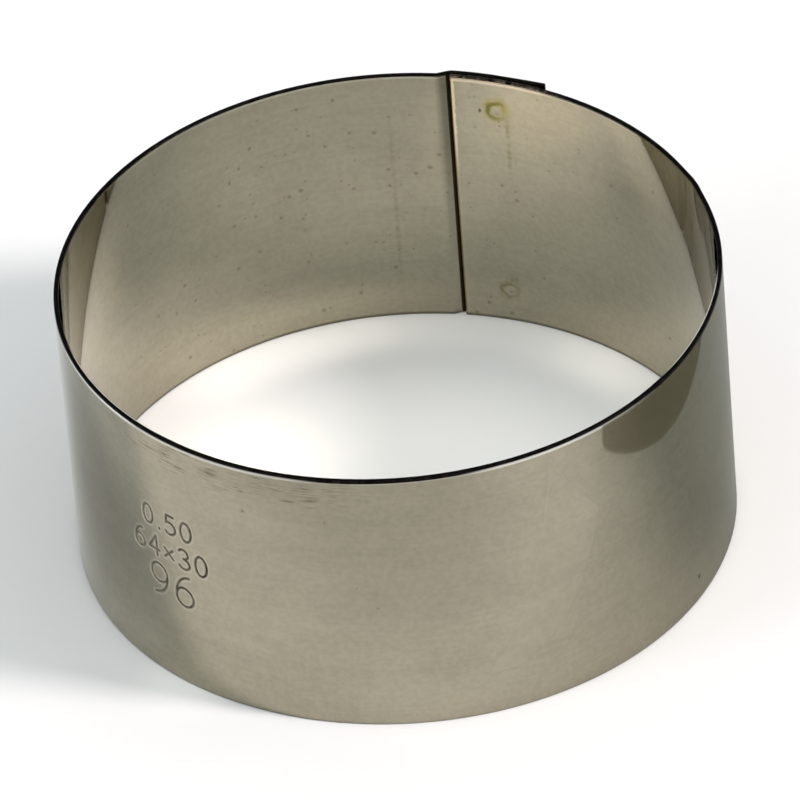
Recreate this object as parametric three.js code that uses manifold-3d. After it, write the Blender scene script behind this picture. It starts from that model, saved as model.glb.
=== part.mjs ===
// Pastry ring: one strip of stainless steel rolled into a circle. One end of the strip steps
// outwards and laps over the other, so the inside stays flush, and two spot welds hold the laps.
// Millimetres, +Z up. The origin is on the ring's axis, in the plane of the lower rim.
import * as THREE from "three";
import { mergeVertices } from "three/addons/utils/BufferGeometryUtils.js";
import Module from "manifold-3d";

const wasm = await Module();
wasm.setup();

// Ring and sheet
const ringDiameter = 65; // outside, where the strip is single
const ringHeight = 30; // width of the strip
const sheetThickness = 0.5;
const edgeRadius = 0.08; // left by deburring along both rims

// Lap joint
const weldLineAngle = 67.7; // degrees from +X to the middle of the lap, seen from above
const lapLength = 10; // overlap of the strip's ends, along the outside of the ring
const lapGap = 0.1; // between the laps, from the step to the weld line
const stepAngle = 25; // degrees by which the step's ramp leaves the ring
const stepBendRadius = 0.5; // inside each of the two bends, before and after the ramp
const stepTuck = 0.2; // by which the outer bend reaches in behind the inner lap's end
const freeEndSpring = 0.3; // by which the outer lap's free end stands off more than the lap gap

// Spot welds
const weldInset = 3.75; // from each rim to the weld nearest to it
const nuggetDiameter = 1.7; // of the fused core
const nuggetReach = 0.6; // of the fused core into each lap, as a share of the sheet's thickness
const nuggetClearance = 0.02; // round the fused core, which is a solid of its own
const electrodeDiameter = 1.9; // of the round mark that an electrode pressed into each lap
const electrodeDepth = 0.04; // of that mark

// Facets
const ringFacets = 144;
const stepFacets = 14;
const lapFacets = 10;
const edgeFacets = 2;
const weldFacets = 24;
const nuggetFacets = 8;

// Derived sizes
const outerRadius = ringDiameter / 2;
const innerRadius = outerRadius - sheetThickness;
const centreRadius = outerRadius - sheetThickness / 2;
const stepHeight = sheetThickness + lapGap;
const turn = 2 * Math.PI;
const weldAngle = THREE.MathUtils.degToRad(weldLineAngle);
const weldHeights = { upper_spot_weld: ringHeight - weldInset, lower_spot_weld: weldInset };

// Angle that a length along the outside of the ring takes up
function angleOf(length) {
  return length / outerRadius;
}

// The step: a bend, a ramp and an equal bend back, that carry the strip outwards by stepHeight
const step = {
  radius: stepBendRadius + sheetThickness / 2,
  angle: THREE.MathUtils.degToRad(stepAngle),
  get bendRun() {
    return this.radius * Math.sin(this.angle);
  },
  get bendRise() {
    return this.radius * (1 - Math.cos(this.angle));
  },
  get length() {
    return 2 * this.bendRun + (stepHeight - 2 * this.bendRise) / Math.tan(this.angle);
  },
  // Distance outwards after a length of the step: its second half is the first one turned about the middle
  riseAt(run) {
    const half = this.length / 2;
    const fromEnd = half - Math.abs(THREE.MathUtils.clamp(run, 0, this.length) - half);
    const onRamp = fromEnd - this.bendRun;
    const rise =
      onRamp > 0
        ? this.bendRise + onRamp * Math.tan(this.angle)
        : this.radius - Math.sqrt(this.radius ** 2 - fromEnd ** 2);
    return run < half ? rise : stepHeight - rise;
  },
};

// The strip's centreline in plan. It runs clockwise from the inner lap's end to the free end.
class StripLine extends THREE.Curve {
  constructor() {
    super();
    this.start = weldAngle + angleOf(lapLength / 2);
    this.stepEnd = turn + angleOf(stepTuck);
    this.stepStart = this.stepEnd - angleOf(step.length);
    this.weldLine = turn + angleOf(lapLength / 2);
    this.freeEnd = turn + angleOf(lapLength);
  }

  radiusAt(passed) {
    const run = (passed - this.stepStart) * outerRadius;
    const sprung = Math.max(0, (passed - this.weldLine) / (this.freeEnd - this.weldLine));
    return centreRadius + step.riseAt(run) + freeEndSpring * sprung ** 2;
  }

  getPoint(share) {
    const passed = share * this.freeEnd;
    const angle = this.start - passed;
    const direction = new THREE.Vector2(Math.cos(angle), Math.sin(angle));
    return direction.multiplyScalar(this.radiusAt(passed));
  }

  // A point beside the line, on the outside of the ring where the offset is positive
  offsetPoint(share, offset) {
    const along = this.getTangent(share);
    const across = new THREE.Vector2(-along.y, along.x);
    return this.getPoint(share).addScaledVector(across, offset);
  }

  // Even shares of the single stretch, of the step and of the outer lap
  stations() {
    const shares = [];
    const divide = (from, to, count) => {
      for (let i = 0; i < count; i++) {
        shares.push(THREE.MathUtils.lerp(from, to, i / count) / this.freeEnd);
      }
    };
    divide(0, this.stepStart, ringFacets);
    divide(this.stepStart, this.stepEnd, stepFacets);
    divide(this.stepEnd, this.freeEnd, lapFacets);
    return [...shares, 1];
  }
}

// Solids for cutting
function toSolid(geometry) {
  const bare = geometry.clone();
  bare.deleteAttribute("normal");
  bare.deleteAttribute("uv");
  const merged = mergeVertices(bare, 1e-5);
  const mesh = new wasm.Mesh({
    numProp: 3,
    vertProperties: new Float32Array(merged.attributes.position.array),
    triVerts: new Uint32Array(merged.index.array),
  });
  return new wasm.Manifold(mesh);
}

function toGeometry(solid) {
  const mesh = solid.getMesh();
  const shared = new THREE.BufferGeometry();
  shared.setAttribute("position", new THREE.BufferAttribute(mesh.vertProperties, mesh.numProp));
  shared.setIndex(new THREE.BufferAttribute(mesh.triVerts, 1));
  const geometry = shared.toNonIndexed();
  geometry.computeVertexNormals();
  return geometry;
}

// The strip: its outline in plan, raised to the ring's height, with both rims deburred
function stripGeometry() {
  const line = new StripLine();
  const shares = line.stations();
  const outside = shares.map((share) => line.offsetPoint(share, sheetThickness / 2));
  const inside = shares.map((share) => line.offsetPoint(share, -sheetThickness / 2));
  const outline = new THREE.Shape([...outside, ...inside.reverse()]);
  const strip = new THREE.ExtrudeGeometry(outline, {
    depth: ringHeight - 2 * edgeRadius,
    bevelEnabled: true,
    bevelThickness: edgeRadius,
    bevelSize: edgeRadius,
    bevelOffset: -edgeRadius,
    bevelSegments: edgeFacets,
  });
  return strip.translate(0, 0, edgeRadius);
}

// Sets an object on the weld line, with its +Y pointing out of the ring
function placeAtWeld(object, radius, height) {
  object.position.set(radius * Math.cos(weldAngle), radius * Math.sin(weldAngle), height);
  object.rotation.z = weldAngle - Math.PI / 2;
  object.updateMatrix();
  return object;
}

// The fused core of a weld: a lens in the middle of the lap gap that reaches evenly into both laps
const nuggetRadius = outerRadius + lapGap / 2;

function nuggetGeometry(clearance) {
  const halfWidth = nuggetDiameter / 2 + clearance;
  const halfDepth = lapGap / 2 + nuggetReach * sheetThickness + clearance;
  const lens = new THREE.EllipseCurve(0, 0, halfWidth, halfDepth, -Math.PI / 2, Math.PI / 2);
  const profile = lens.getPoints(nuggetFacets);
  profile[0].x = 0;
  profile[nuggetFacets].x = 0;
  return new THREE.LatheGeometry(profile, weldFacets);
}

// The tip of an electrode, pressed into a face at the origin from the side that it stands on
function electrodeGeometry(side) {
  const radius = electrodeDiameter / 2;
  const tip = new THREE.CylinderGeometry(radius, radius, electrodeDiameter, weldFacets);
  return tip.translate(0, side * (electrodeDiameter / 2 - electrodeDepth), 0);
}

function cutAtWeld(strip, geometry, radius, height) {
  const tool = placeAtWeld(new THREE.Object3D(), radius, height);
  return strip.subtract(toSolid(geometry.applyMatrix4(tool.matrix)));
}

function ringBandGeometry() {
  let strip = toSolid(stripGeometry());
  for (const height of Object.values(weldHeights)) {
    strip = cutAtWeld(strip, nuggetGeometry(nuggetClearance), nuggetRadius, height);
    strip = cutAtWeld(strip, electrodeGeometry(-1), innerRadius, height);
    strip = cutAtWeld(strip, electrodeGeometry(1), outerRadius + stepHeight, height);
  }
  return toGeometry(strip);
}

// Finishes
function rolledSteel() {
  return new THREE.MeshStandardMaterial({ color: 0x9c9583, roughness: 0.28, metalness: 1 });
}

function fusedSteel() {
  return new THREE.MeshStandardMaterial({ color: 0x7f7a6c, roughness: 0.5, metalness: 1 });
}

// Assembly
const pastryRing = new THREE.Group();

const band = new THREE.Mesh(ringBandGeometry(), rolledSteel());
band.name = "ring_band";
pastryRing.add(band);

for (const [name, height] of Object.entries(weldHeights)) {
  const nugget = new THREE.Mesh(nuggetGeometry(0), fusedSteel());
  nugget.name = name;
  pastryRing.add(placeAtWeld(nugget, nuggetRadius, height));
}

export default pastryRing;
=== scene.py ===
"""Looks of a pastry ring: a strip of bright stainless steel rolled round, stepped, lapped and spot-welded.

Metres, +Z up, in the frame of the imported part. The strip is worked out flat, as it is cut: lengthwise along
X, through its thickness along Y and across its width along Z. It is stamped flat and then rolled.
"""

import logging
import math
from dataclasses import dataclass
from enum import Enum

import bmesh
import bpy
import numpy as np
from mathutils import Matrix, Vector


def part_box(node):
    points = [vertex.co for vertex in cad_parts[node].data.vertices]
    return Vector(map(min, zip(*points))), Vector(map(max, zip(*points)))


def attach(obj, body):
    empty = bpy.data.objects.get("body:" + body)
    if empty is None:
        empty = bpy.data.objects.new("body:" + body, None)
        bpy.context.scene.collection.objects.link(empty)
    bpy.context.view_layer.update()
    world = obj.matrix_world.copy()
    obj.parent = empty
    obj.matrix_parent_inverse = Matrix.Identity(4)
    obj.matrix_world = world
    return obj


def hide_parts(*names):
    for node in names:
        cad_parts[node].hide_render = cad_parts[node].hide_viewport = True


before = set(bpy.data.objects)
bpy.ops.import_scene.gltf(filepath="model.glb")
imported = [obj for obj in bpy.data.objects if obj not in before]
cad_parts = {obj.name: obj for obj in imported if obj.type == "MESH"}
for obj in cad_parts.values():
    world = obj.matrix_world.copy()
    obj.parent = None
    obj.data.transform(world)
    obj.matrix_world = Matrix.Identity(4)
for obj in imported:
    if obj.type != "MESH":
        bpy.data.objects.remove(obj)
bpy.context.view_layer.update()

MM = 0.001
TURN = 2 * math.pi
BODY = "root"
STRIP_PLACE = "strip_place"
STRUCK = "struck"
OFF_MIDDLE = 0.05 * MM
FACE_SHARE = 0.99
PITCH_SAMPLES = 40001
TINY = 0.001 * MM

Array = np.ndarray
Pair = tuple[float, float]
Zone = tuple[float, float, float]
Colour = tuple[float, float, float]
Socket = bpy.types.NodeSocket
Sockets = bpy.types.bpy_prop_collection
Material = bpy.types.Material
Mesh = bpy.types.Mesh
Inputs = dict[str, Socket]

# Near-white tint of the painted highlights below the upper rim's outer corner and on its inner corner.
HIGHLIGHT: Colour = (0.95, 0.93, 0.88)
log = logging.getLogger("pastry_ring")


class Surface(Enum):
    """Which finish a face of the strip has, as its material index."""

    WALL = 0
    EDGE = 1


class Side(Enum):
    """Which face of the strip a mark is on: the sign of its place through the thickness."""

    OUTSIDE = 1
    INSIDE = -1


def put_in_scene(name: str, data: bpy.types.ID) -> bpy.types.Object:
    """Makes an object and puts it in the scene.

    Args:
        name: the object's name.
        data: its mesh, lamp or camera.

    Returns:
        The object.
    """
    made = bpy.data.objects.new(name, data)
    bpy.context.scene.collection.objects.link(made)
    return made


def bare_material(name: str) -> Material:
    """Makes a material with a node tree.

    Args:
        name: the material's name.

    Returns:
        The material.
    """
    made = bpy.data.materials.new(name)
    made.use_nodes = True
    return made


# Shader wiring


class Wiring:
    """Nodes and links of one shader tree."""

    def __init__(self, tree: bpy.types.NodeTree) -> None:
        """Empties the tree to start from."""
        self.tree = tree
        tree.nodes.clear()

    def add(self, kind: str, inputs: dict | None = None, **settings: object) -> bpy.types.Node:
        """Adds one node.

        Args:
            kind: Blender's name for the node type.
            inputs: a value or a source socket for each named input.
            settings: the node's own settings.

        Returns:
            The new node.
        """
        node = self.tree.nodes.new(kind)
        for name, value in settings.items():
            setattr(node, name, value)
        for name, value in (inputs or {}).items():
            if isinstance(value, Socket):
                self.tree.links.new(value, node.inputs[name])
            else:
                node.inputs[name].default_value = value
        return node

    def math(self, operation: str, *values: object) -> Socket:
        """Works out a sum of numbers or source sockets, given in order."""
        return self.add("ShaderNodeMath", dict(enumerate(values)), operation=operation).outputs[0]

    def chain(self, operation: str, *values: object) -> Socket:
        """Works out a sum over any number of values, from the first to the last.

        Args:
            operation: Blender's name for it.
            values: numbers or source sockets.

        Returns:
            The result, which is the value itself where there is only one.
        """
        result, *rest = values
        for value in rest:
            result = self.math(operation, result, value)
        return result

    def product(self, *values: object) -> Socket:
        """Multiplies values."""
        return self.chain("MULTIPLY", *values)

    def most(self, *values: object) -> Socket:
        """Gives the greatest of some values."""
        return self.chain("MAXIMUM", *values)

    def scaled(self, value: object, factor: float, plus: float) -> Socket:
        """Multiplies a value by a number and adds another."""
        return self.math("MULTIPLY_ADD", value, factor, plus)

    def apart(self, value: object, middle: object) -> Socket:
        """Gives how far a value lies from a middle."""
        return self.math("ABSOLUTE", self.math("SUBTRACT", value, middle))

    def total(self, *shares: tuple[object, float]) -> Socket:
        """Adds up values.

        Args:
            shares: each value with the number that it counts for.

        Returns:
            The weighted sum.
        """
        result = self.math("MULTIPLY", *shares[0])
        for value, weight in shares[1:]:
            result = self.math("MULTIPLY_ADD", value, weight, result)
        return result

    def vector(self, operation: str, *values: object, output: str = "Vector") -> Socket:
        """Works out a sum of vectors.

        Args:
            operation: Blender's name for it.
            values: vectors or source sockets, in order.
            output: which of the node's outputs to take.

        Returns:
            The result.
        """
        node = self.add("ShaderNodeVectorMath", dict(enumerate(values)), operation=operation)
        return node.outputs[output]

    def parts(self, vector: Socket) -> Sockets:
        """Takes a vector apart into its three numbers."""
        return self.add("ShaderNodeSeparateXYZ", {0: vector}).outputs

    def between(self, value: object, low: object, high: object, to: Pair = (0.0, 1.0)) -> Socket:
        """Changes smoothly from one result to another.

        Args:
            value: the number or source socket to look at.
            low: where the change starts; it may lie above high.
            high: where it ends.
            to: the results at low and at high.

        Returns:
            The result.
        """
        inputs = {"Value": value, "From Min": low, "From Max": high, "To Min": to[0], "To Max": to[1]}
        node = self.add("ShaderNodeMapRange", inputs, interpolation_type="SMOOTHSTEP")
        return node.outputs["Result"]

    def blend(self, share: object, first: object, second: object) -> Socket:
        """Mixes two colours.

        Args:
            share: how far to go from the first to the second.
            first: a colour or its source socket.
            second: a colour or its source socket.

        Returns:
            The mixed colour.
        """
        pair = [value if isinstance(value, Socket) else (*value, 1.0) for value in (first, second)]
        node = self.add("ShaderNodeMix", {0: share, 6: pair[0], 7: pair[1]}, data_type="RGBA")
        return node.outputs[2]

    def noise(self, vector: Socket, scale: object, detail: float = 2.0, roughness: float = 0.5) -> Sockets:
        """Adds soft noise.

        Args:
            vector: the coordinates that it follows.
            scale: how many waves it has to the metre.
            detail: how many finer layers it has.
            roughness: how strong these are.

        Returns:
            Its outputs, first the value and then the colour.
        """
        inputs = {"Vector": vector, "Scale": scale, "Detail": detail, "Roughness": roughness}
        return self.add("ShaderNodeTexNoise", inputs).outputs

    def attribute(self, name: str) -> Sockets:
        """Gives what the mesh holds at each point under a name."""
        return self.add("ShaderNodeAttribute", attribute_name=name).outputs

    def bumped(self, height: Socket, strength: float, depth: float) -> Socket:
        """Gives the normal of a surface that a relief bends."""
        inputs = {"Strength": strength, "Distance": depth, "Height": height}
        return self.add("ShaderNodeBump", inputs).outputs[0]

    def surface(self, inputs: dict[str, object]) -> None:
        """Ends a material in one shader with the given inputs."""
        shader = self.add("ShaderNodeBsdfPrincipled", inputs)
        self.add("ShaderNodeOutputMaterial", {"Surface": shader.outputs[0]})


class Effect:
    """A shader node group that several finishes place with values of their own."""

    name = ""
    inputs: dict[str, float] = {}
    output = ""

    def wire(self, wiring: Wiring, given: Inputs) -> Socket:
        """Wires the group's inside.

        Args:
            wiring: the group's tree.
            given: the group's inputs.

        Returns:
            What the group puts out.
        """
        raise NotImplementedError

    def tree(self) -> bpy.types.NodeTree:
        """Gives the group, built on first use.

        Returns:
            The group's tree.
        """
        made = bpy.data.node_groups.get(self.name)
        if made is not None:
            return made
        made = bpy.data.node_groups.new(self.name, "ShaderNodeTree")
        wiring = Wiring(made)
        made.interface.new_socket("Vector", in_out="INPUT", socket_type="NodeSocketVector")
        for name, value in self.inputs.items():
            socket = made.interface.new_socket(name, in_out="INPUT", socket_type="NodeSocketFloat")
            socket.default_value = value
        made.interface.new_socket(self.output, in_out="OUTPUT", socket_type="NodeSocketFloat")
        given = {socket.name: socket for socket in wiring.add("NodeGroupInput").outputs if socket.name}
        wiring.add("NodeGroupOutput", {self.output: self.wire(wiring, given)})
        return made

    def place(self, wiring: Wiring, vector: Socket, **values: object) -> Socket:
        """Places the group in a material.

        Args:
            wiring: the material's tree.
            vector: the coordinates that the effect follows.
            values: numbers or source sockets for the group's inputs.

        Returns:
            The group's output.
        """
        inputs = {name.title(): value for name, value in values.items()}
        group = wiring.add("ShaderNodeGroup", {"Vector": vector, **inputs}, node_tree=self.tree())
        return group.outputs[self.output]


class RollingGrain(Effect):
    """Streaks that run along the strip: noise drawn out lengthwise and squeezed across."""

    name = "rolling_grain"
    inputs = {"Length": 12 * MM, "Width": 0.3 * MM}
    output = "Grain"
    layers = 3.0
    layer_strength = 0.6
    contrast = (0.3, 0.7)

    def wire(self, wiring: Wiring, given: Inputs) -> Socket:
        """Divides the coordinates by the streaks' length and width before the noise.

        Args:
            wiring: the group's tree.
            given: the group's inputs.

        Returns:
            The streaks.
        """
        along = wiring.math("DIVIDE", 1.0, given["Length"])
        across = wiring.math("DIVIDE", 1.0, given["Width"])
        scale = wiring.add("ShaderNodeCombineXYZ", {"X": along, "Y": along, "Z": across}).outputs[0]
        drawn = wiring.vector("MULTIPLY", given["Vector"], scale)
        noise = wiring.noise(drawn, 1.0, self.layers, self.layer_strength)
        return wiring.between(noise[0], *self.contrast)


class Clouding(Effect):
    """Soft patches where the metal is a little cleaner or duller."""

    name = "clouding"
    inputs = {"Size": 10 * MM}
    output = "Cloud"
    layers = 4.0
    contrast = (0.35, 0.65)

    def wire(self, wiring: Wiring, given: Inputs) -> Socket:
        """Uses noise whose patches have the given size."""
        scale = wiring.math("DIVIDE", 1.0, given["Size"])
        return wiring.between(wiring.noise(given["Vector"], scale, self.layers)[0], *self.contrast)


class Specks(Effect):
    """Scattered dots: of the cells of the given spacing, a share holds one dot, at most of the given size."""

    name = "specks"
    inputs = {"Spacing": 2 * MM, "Size": 0.1 * MM, "Share": 0.1}
    output = "Speck"
    least_size = 0.3
    soft_share = 0.3

    def wire(self, wiring: Wiring, given: Inputs) -> Socket:
        """Marks points near the middle of a cell that a random number picks; another sets the dot's size.

        Args:
            wiring: the group's tree.
            given: the group's inputs.

        Returns:
            The dots.
        """
        scale = wiring.math("DIVIDE", 1.0, given["Spacing"])
        cells = wiring.add("ShaderNodeTexVoronoi", {"Vector": given["Vector"], "Scale": scale}).outputs
        parts = wiring.add("ShaderNodeSeparateColor", {"Color": cells["Color"]}).outputs
        widest = wiring.math("DIVIDE", given["Size"], given["Spacing"])
        reach = wiring.product(widest, wiring.scaled(parts[1], 1 - self.least_size, self.least_size))
        near = wiring.between(cells["Distance"], reach, wiring.product(reach, self.soft_share))
        return wiring.product(near, wiring.math("LESS_THAN", parts[0], given["Share"]))


class HeatMark(Effect):
    """Heat's mark round an electrode's print: 1 on the print's rim, fading soon inwards, slowly outwards."""

    name = "heat_mark"
    inputs = {"Run": 0.0, "Height": 0.0, "Radius": 1 * MM, "Fade": 1 * MM, "Strength": 1.0}
    output = "Heat"
    waves = 800.0
    uneven = 1.4 * MM
    inward_fade = -2.0
    one_sided = 0.2
    even = 0.79
    blunt = 0.2 * MM

    def wire(self, wiring: Wiring, given: Inputs) -> Socket:
        """Takes the distance from the rim as a share of the fade; noise makes it uneven, one side is weaker.

        Args:
            wiring: the group's tree.
            given: the group's inputs.

        Returns:
            The mark.
        """
        run, _, height = wiring.parts(given["Vector"])
        along = wiring.math("SUBTRACT", run, given["Run"])
        up = wiring.math("SUBTRACT", height, given["Height"])
        squares = [wiring.math("POWER", part, 2.0) for part in (along, up)]
        away = wiring.math("SQRT", wiring.math("ADD", *squares))
        noise = wiring.noise(given["Vector"], self.waves)[0]
        uneven = wiring.scaled(noise, self.uneven, -self.uneven / 2)
        out = wiring.math("ADD", wiring.math("SUBTRACT", away, given["Radius"]), uneven)
        far = wiring.most(out, wiring.product(out, self.inward_fade))
        near = wiring.math("SUBTRACT", 1.0, wiring.math("DIVIDE", far, given["Fade"]))
        upwards = wiring.math("SUBTRACT", up, along)
        side = wiring.math("DIVIDE", upwards, wiring.math("ADD", away, self.blunt))
        strength = wiring.product(given["Strength"], wiring.scaled(side, self.one_sided, self.even))
        return wiring.product(wiring.most(near, 0.0), strength)


class RoundSpot(Effect):
    """One dark spot: 1 in its middle, fading unevenly to 0 at its radius."""

    name = "round_spot"
    inputs = {"Run": 0.0, "Height": 0.0, "Radius": 0.3 * MM}
    output = "Spot"
    waves = 3000.0
    edge = (1.4, 0.7)

    def wire(self, wiring: Wiring, given: Inputs) -> Socket:
        """Takes the distance from the middle, along and up the face, as a share of the radius, plus noise.

        Args:
            wiring: the group's tree.
            given: the group's inputs.

        Returns:
            The spot.
        """
        middle = wiring.add("ShaderNodeCombineXYZ", {"X": given["Run"], "Z": given["Height"]}).outputs[0]
        face = wiring.vector("MULTIPLY", given["Vector"], (1.0, 0.0, 1.0))
        away = wiring.vector("DISTANCE", face, middle, output="Value")
        noise = wiring.noise(given["Vector"], self.waves)[0]
        share = wiring.math("ADD", wiring.math("DIVIDE", away, given["Radius"]), noise)
        return wiring.between(share, *self.edge)


class HighlightStretch(Effect):
    """Painted highlight line just below the upper rim's outer corner, along one stretch of the strip."""

    name = "highlight_line"
    inputs = {"Top": 30 * MM, "Middle": 0.0, "Half": 10 * MM}
    output = "Highlight"
    upper_edge = (0.13 * MM, 0.22 * MM)
    lower_edge = (0.56 * MM, 0.42 * MM)
    end_fade = 5 * MM

    def wire(self, wiring: Wiring, given: Inputs) -> Socket:
        """Marks the outside between two depths below the top, and fades past both ends of the stretch.

        Args:
            wiring: the group's tree.
            given: the group's inputs.

        Returns:
            The line.
        """
        run, through, height = wiring.parts(given["Vector"])
        below = wiring.math("SUBTRACT", given["Top"], height)
        upper = wiring.between(below, *self.upper_edge)
        lower = wiring.between(below, *self.lower_edge)
        outside = wiring.math("GREATER_THAN", through, OFF_MIDDLE)
        faded = wiring.math("ADD", given["Half"], self.end_fade)
        stretch = wiring.between(wiring.apart(run, given["Middle"]), faded, given["Half"])
        return wiring.product(upper, lower, outside, stretch)


# Marks pressed into the flat strip


def smooth(value: Array, low: float, high: float) -> Array:
    """Gives a smooth change from 0 at low to 1 at high, 3 s squared less 2 s cubed for a share s."""
    share = np.clip((value - low) / (high - low), 0, 1)
    return share * share * (3 - 2 * share)


@dataclass(frozen=True)
class Stroke:
    """One stroke of a figure, an arc of an ellipse in units of the figure's height."""

    centre: Pair
    radii: Pair
    start: float = 0.0
    end: float = 360.0

    def points(self, count: int = 25) -> Array:
        """Gives points along the stroke: the centre plus the radii times cosine and sine of even angles."""
        angle = np.radians(np.linspace(self.start, self.end, count))
        return np.array(self.centre) + np.array(self.radii) * np.stack([np.cos(angle), np.sin(angle)], axis=1)


@dataclass(frozen=True)
class Bar:
    """One straight stroke of a figure, in units of the figure's height."""

    start: Pair
    end: Pair

    def points(self) -> Array:
        """Gives the two ends."""
        return np.array([self.start, self.end])


FIGURES: dict[str, tuple[Stroke | Bar, ...]] = {
    "0": (Stroke((0.3, 0.5), (0.28, 0.5)),),
    "3": (Stroke((0.27, 0.76), (0.24, 0.24), 150, -90), Stroke((0.27, 0.26), (0.29, 0.26), 90, -150)),
    "4": (Bar((0.44, 0.0), (0.44, 1.0)), Bar((0.44, 1.0), (0.0, 0.3)), Bar((0.0, 0.3), (0.6, 0.3))),
    "5": (
        Bar((0.52, 1.0), (0.12, 1.0)),
        Bar((0.12, 1.0), (0.07, 0.56)),
        Stroke((0.26, 0.32), (0.31, 0.32), 128, -140),
    ),
    "6": (Stroke((0.3, 0.3), (0.28, 0.3)), Stroke((0.56, 0.32), (0.54, 0.68), 96, 180)),
    "9": (Stroke((0.3, 0.7), (0.28, 0.3)), Stroke((0.04, 0.68), (0.54, 0.68), -84, 0)),
    "x": (Bar((0.05, 0.2), (0.5, 0.65)), Bar((0.05, 0.65), (0.5, 0.2))),
    ".": (Bar((0.1, 0.0), (0.1, 0.04)),),
}
FIGURE_WIDTHS = {"x": 0.55, ".": 0.2}
FIGURE_WIDTH = 0.6


@dataclass(frozen=True)
class StampRow:
    """One row of plain figures: its text, the height of the figures and the height of their foot."""

    text: str
    height: float
    foot: float


@dataclass(frozen=True)
class Stamp:
    """Plain measures struck into the outside: sheet, inside width by height, millilitres held."""

    angle: float = 224.2
    rows: tuple[StampRow, ...] = (
        StampRow("0.50", 2.3 * MM, 18.2 * MM),
        StampRow("64x30", 2.4 * MM, 14.6 * MM),
        StampRow("96", 3.8 * MM, 9.8 * MM),
    )
    spacing: float = 0.26
    depth: float = 0.09 * MM
    half_width: float = 0.2 * MM
    lip: float = 0.015 * MM
    tilt: float = 0.2
    margin: float = 0.45 * MM
    # The lips get a painted highlight; the grooves get a dark fill, partly dirt and partly painted shade.
    lip_highlight: float = 0.3
    dark_fill: Pair = (0.84, 0.16)
    dark_fill_edge: Pair = (0.85, 0.35)

    def width(self, text: str) -> float:
        """Gives a row's width in units of its height."""
        return sum(FIGURE_WIDTHS.get(figure, FIGURE_WIDTH) + self.spacing for figure in text) - self.spacing

    def window(self) -> tuple[float, float, float]:
        """Measures the stamp with a margin round it.

        Returns:
            Half its width, and its lowest and highest point.
        """
        half = max(self.width(row.text) * row.height for row in self.rows) / 2
        low = min(row.foot for row in self.rows)
        high = max(row.foot + row.height for row in self.rows)
        return half + self.margin, low - self.margin, high + self.margin

    def segments(self, row: StampRow) -> tuple[Array, Array]:
        """Lays out the straight bits of a row's strokes.

        Args:
            row: the row.

        Returns:
            Both ends of every bit: distance right of the middle, and height.
        """
        starts, ends = [], []
        left = -self.width(row.text) / 2
        for figure in row.text:
            for stroke in FIGURES[figure]:
                line = (stroke.points() + (left, 0.0)) * row.height + (0.0, row.foot)
                starts.append(line[:-1])
                ends.append(line[1:])
            left += FIGURE_WIDTHS.get(figure, FIGURE_WIDTH) + self.spacing
        return np.concatenate(starts), np.concatenate(ends)

    def away(self, right: Array, height: Array) -> Array:
        """Gives each point's distance from the nearest stroke, in half stroke widths and at most 2.

        The distance to a straight bit is measured to its point that lies nearest, at the share of its length
        that the dot product gives, held between its ends. Each row is tried on the points in its own band.

        Args:
            right: distance to the right of the stamp's middle.
            height: height above the lower rim.

        Returns:
            The distances.
        """
        found = np.full(right.shape, 2.0)
        reach = 2 * self.half_width
        for row in self.rows:
            band = np.flatnonzero((height > row.foot - reach) & (height < row.foot + row.height + reach))
            start, end = self.segments(row)
            along = end - start
            point = np.stack([right[band], height[band]], axis=1)[:, None, :]
            share = ((point - start) * along).sum(2) / np.maximum((along**2).sum(1), 1e-12)
            nearest = start + np.clip(share, 0, 1)[..., None] * along
            least = np.sqrt(((point - nearest) ** 2).sum(2)).min(1) / self.half_width
            found[band] = np.minimum(found[band], least)
        return found

    def relief(self, away: Array, right: Array) -> Array:
        """Works out how far the face stands out near a stroke.

        Up to 1 the face sinks by the depth times a raised cosine; from 1 to 2 it swells by a lip, half a sine
        wave. The stamp was held at a tilt, so both grow evenly from left to right.

        Args:
            away: distance from the nearest stroke, in half stroke widths.
            right: distance to the right of the stamp's middle.

        Returns:
            The distances outwards.
        """
        groove = self.depth * (1 + np.cos(math.pi * np.clip(away, 0, 1))) / 2
        swell = self.lip * np.sin(math.pi * np.clip(away - 1, 0, 1))
        reach, _, _ = self.window()
        return (swell - groove) * (1 + self.tilt * right / reach)

    def marking(self, away: Array, right: Array) -> Array:
        """Works out the marks near a stroke: dirt and painted shade below 0, a painted highlight above 0.

        Args:
            away: distance from the nearest stroke, in half stroke widths.
            right: distance to the right of the stamp's middle.

        Returns:
            Down to -1 in the grooves' middles at the right, where they are deepest, up to the lips' painted
            highlight.
        """
        reach, _, _ = self.window()
        # The grooves' dark fill is partly dirt, partly painted shade; the lips' lightening is a painted
        # highlight.
        least, growth = self.dark_fill
        filled = (least + growth * right / reach) * smooth(away, *self.dark_fill_edge)
        return self.lip_highlight * np.sin(math.pi * np.clip(away - 1, 0, 1)) - filled


@dataclass(frozen=True)
class ElectrodeMark:
    """Round print of a welding electrode: a shallow dish with a raised rim."""

    run: float
    height: float
    side: Side
    heat: float = 1.0
    outline: float = 0.4
    diameter: float = 1.9 * MM
    depth: float = 0.04 * MM
    rim: float = 0.01 * MM
    line: float = 0.8 * MM
    margin: float = 0.6 * MM

    def reach(self) -> float:
        """Gives half the width of the square round the mark that needs a fine mesh."""
        return self.diameter / 2 + self.margin

    def distance(self, run: Array, height: Array) -> Array:
        """Gives the distance from the mark's middle."""
        return np.hypot(run - self.run, height - self.height)

    def relief(self, run: Array, height: Array) -> Array:
        """Works out how far the face stands out: an even dish, a smooth slope and a bell-shaped rim round it.

        Args:
            run: place of each point along the strip.
            height: its height.

        Returns:
            The distances outwards.
        """
        away = self.distance(run, height)
        edge = self.diameter / 2
        dish = self.depth * smooth(away, edge + self.line / 2, edge - self.line / 2)
        swell = self.rim * np.exp(-(((away - edge - self.line / 2) / (self.line / 2)) ** 2))
        return swell - dish


# The strip's line


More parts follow.
